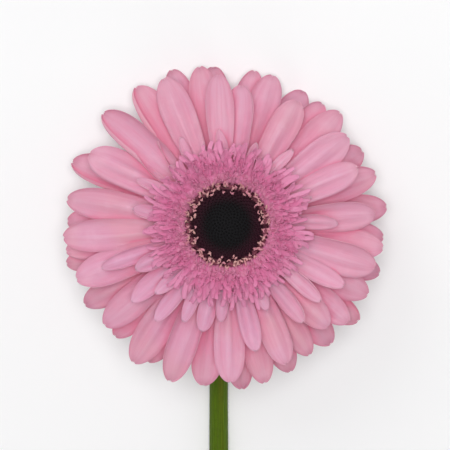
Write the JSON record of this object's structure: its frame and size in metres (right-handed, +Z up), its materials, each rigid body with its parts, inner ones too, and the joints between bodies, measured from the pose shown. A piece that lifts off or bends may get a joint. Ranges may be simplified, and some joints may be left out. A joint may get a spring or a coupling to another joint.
{
  "type": "cut gerbera",
  "caption": "Cut gerbera daisy lying down: round pink flower head with strap petals, curly florets and a dark heart on a bare green stem.",
  "frame": {"origin": "centre of the part's footprint on the table, at the table's surface", "axes": "+Z up from the table; +Y along the stem from its cut end towards the flower head; +X to the right of someone looking down on the face with the stem towards them"},
  "size_m": [0.1106, 0.4482, 0.0574],
  "materials": {
    "back_petals": "soft matt petal, dusky pink",
    "middle_petals": "soft matt petal, pink",
    "front_petals": "soft satin petal, light pink",
    "inner_petals": "soft satin petal, lilac pink",
    "florets": "soft matt floret, deep pink",
    "anthers": "matt, cream pink",
    "heart": "matt, wine black",
    "receptacle": "fresh pith, matt pale green",
    "bracts": "downy fresh green",
    "stem": "downy fresh green, satin"
  },
  "bodies": {
    "root": {"back_petal_01": "back_petals", "back_petal_02": "back_petals", "back_petal_03": "back_petals", "back_petal_04": "back_petals", "back_petal_05": "back_petals", "back_petal_06": "back_petals", "back_petal_07": "back_petals", "back_petal_08": "back_petals", "back_petal_09": "back_petals", "back_petal_10": "back_petals", "back_petal_11": "back_petals", "back_petal_12": "back_petals", "back_petal_13": "back_petals", "back_petal_14": "back_petals", "back_petal_15": "back_petals", "back_petal_16": "back_petals", "back_petal_17": "back_petals", "back_petal_18": "back_petals", "middle_petal_01": "middle_petals", "middle_petal_02": "middle_petals", "middle_petal_03": "middle_petals", "middle_petal_04": "middle_petals", "middle_petal_05": "middle_petals", "middle_petal_06": "middle_petals", "middle_petal_07": "middle_petals", "middle_petal_08": "middle_petals", "middle_petal_09": "middle_petals", "middle_petal_10": "middle_petals", "middle_petal_11": "middle_petals", "middle_petal_12": "middle_petals", "middle_petal_13": "middle_petals", "middle_petal_14": "middle_petals", "middle_petal_15": "middle_petals", "middle_petal_16": "middle_petals", "middle_petal_17": "middle_petals", "middle_petal_18": "middle_petals", "front_petal_01": "front_petals", "front_petal_02": "front_petals", "front_petal_03": "front_petals", "front_petal_04": "front_petals", "front_petal_05": "front_petals", "front_petal_06": "front_petals", "front_petal_07": "front_petals", "front_petal_08": "front_petals", "front_petal_09": "front_petals", "front_petal_10": "front_petals", "front_petal_11": "front_petals", "front_petal_12": "front_petals", "front_petal_13": "front_petals", "front_petal_14": "front_petals", "inner_petals_lower": "inner_petals", "inner_petals_upper": "inner_petals", "outer_florets": "florets", "inner_florets": "florets", "anther_ring": "anthers", "disc_heart": "heart", "receptacle": "receptacle", "inner_bracts": "bracts", "outer_bracts": "bracts", "stem": "stem"}
  },
  "joints": []
}
